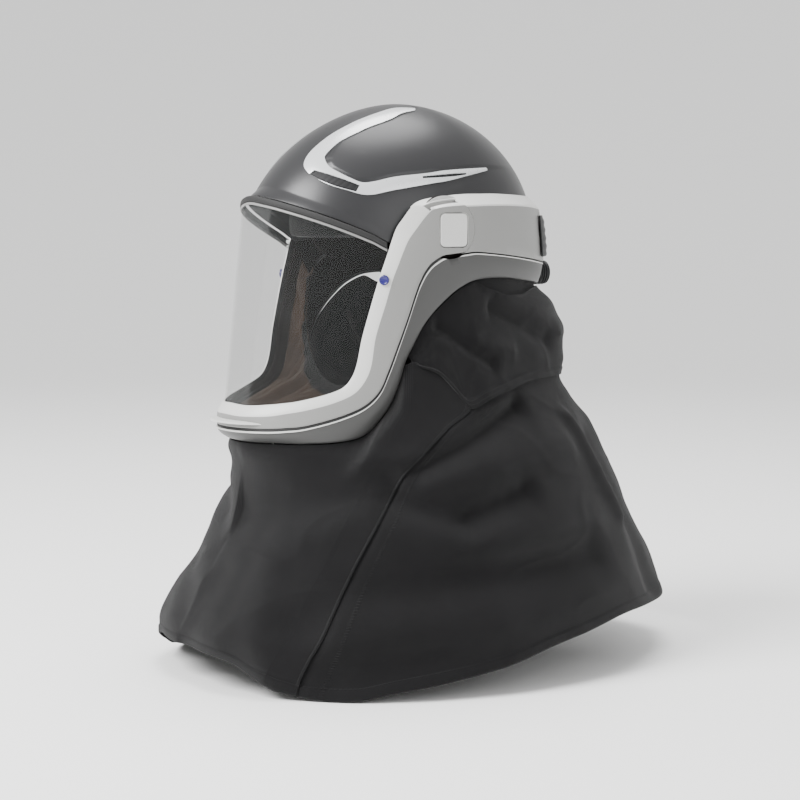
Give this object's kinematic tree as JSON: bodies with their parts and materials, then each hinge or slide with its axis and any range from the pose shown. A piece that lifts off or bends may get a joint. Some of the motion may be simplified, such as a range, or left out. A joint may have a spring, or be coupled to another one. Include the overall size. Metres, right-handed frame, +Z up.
{
  "type": "powered respirator helmet",
  "caption": "Powered respirator helmet: hard shell, flip-up clear visor in a pale frame, head harness, face seal, rear air inlet and a long cloth shroud.",
  "frame": {"origin": "under the middle of the crown straps, where the top of a wearer's head meets them", "axes": "+Z up through the top of the shell, -Y forward through the visor, +X to the wearer's left"},
  "size_m": [0.4198, 0.5288, 0.5476],
  "materials": {
    "graphite_shell": "satin",
    "silver_trim": "satin",
    "white_frame": "satin",
    "grey_frame": "satin",
    "black_plastic": "matte",
    "clear_visor": "clear",
    "blue_peg": "satin",
    "dark_lining": "matte",
    "black_cloth": "woven, matte"
  },
  "bodies": {
    "helmet": {"shell": "graphite_shell", "accent_left": "silver_trim", "accent_right": "silver_trim", "vent_front_left": "black_plastic", "vent_rear_left": "black_plastic", "vent_front_right": "black_plastic", "vent_rear_right": "black_plastic", "rear_band": "white_frame", "lower_frame": "grey_frame", "frame_gasket": "black_plastic", "inner_rim": "dark_lining", "face_seal": "black_cloth", "rear_cover": "black_plastic", "air_inlet": "black_plastic", "headband": "black_plastic", "crown_straps": "black_plastic", "brow_pad": "black_plastic", "shroud_front": "black_cloth", "shroud_back": "black_cloth", "shroud_collar": "black_cloth"},
    "visor_unit": {"visor_frame": "white_frame", "visor": "clear_visor", "brow_seal": "black_plastic", "visor_bead": "white_frame", "peg_left": "blue_peg", "peg_right": "blue_peg", "badge_left": "white_frame", "badge_right": "white_frame"}
  },
  "joints": [
    {"name": "visor_hinge", "type": "hinge", "parent": "helmet", "child": "visor_unit", "pos_m": [0, -0.008, -0.0835], "axis": [-1, 0, 0], "range_deg": [0, 65]}
  ]
}
